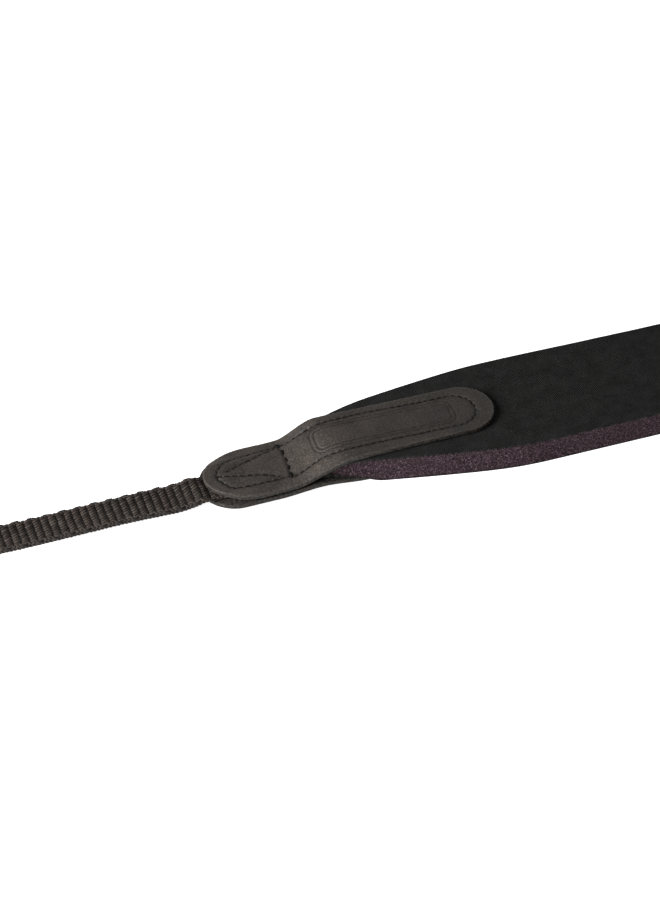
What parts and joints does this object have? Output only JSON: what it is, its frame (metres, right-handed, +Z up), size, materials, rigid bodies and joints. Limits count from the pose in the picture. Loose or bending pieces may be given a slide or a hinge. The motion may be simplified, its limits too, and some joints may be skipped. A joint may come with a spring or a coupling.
{
  "type": "camera neck strap",
  "caption": "Padded neck strap laid flat: a foam pad faced with cloth, stitched leather tabs at its ends, and narrow webbing that ends in adjustable loops.",
  "frame": {"origin": "centre of the strap's outline, on the table that the strap lies on", "axes": "+X along the strap from the pad's middle to one loop, +Y across it, +Z up from the table"},
  "size_m": [0.86, 0.0386, 0.0106],
  "materials": {
    "face_cloth": "matt black close knit cloth",
    "foam": "matt purple-grey cut foam with open cells",
    "back_cloth": "matt black close knit cloth",
    "leather": "dark brown-black smooth leather with a soft sheen, sewn with black thread",
    "webbing": "dark brown-black ribbed nylon webbing",
    "slider_plastic": "black moulded plastic"
  },
  "bodies": {
    "root": {"pad_face_cloth": "face_cloth", "pad_foam": "foam", "pad_back_cloth": "back_cloth", "front_tab_left": "leather", "front_tab_right": "leather", "back_tab_left": "leather", "back_tab_right": "leather", "webbing_left": "webbing", "webbing_right": "webbing", "slider_left": "slider_plastic", "slider_right": "slider_plastic"}
  },
  "joints": []
}
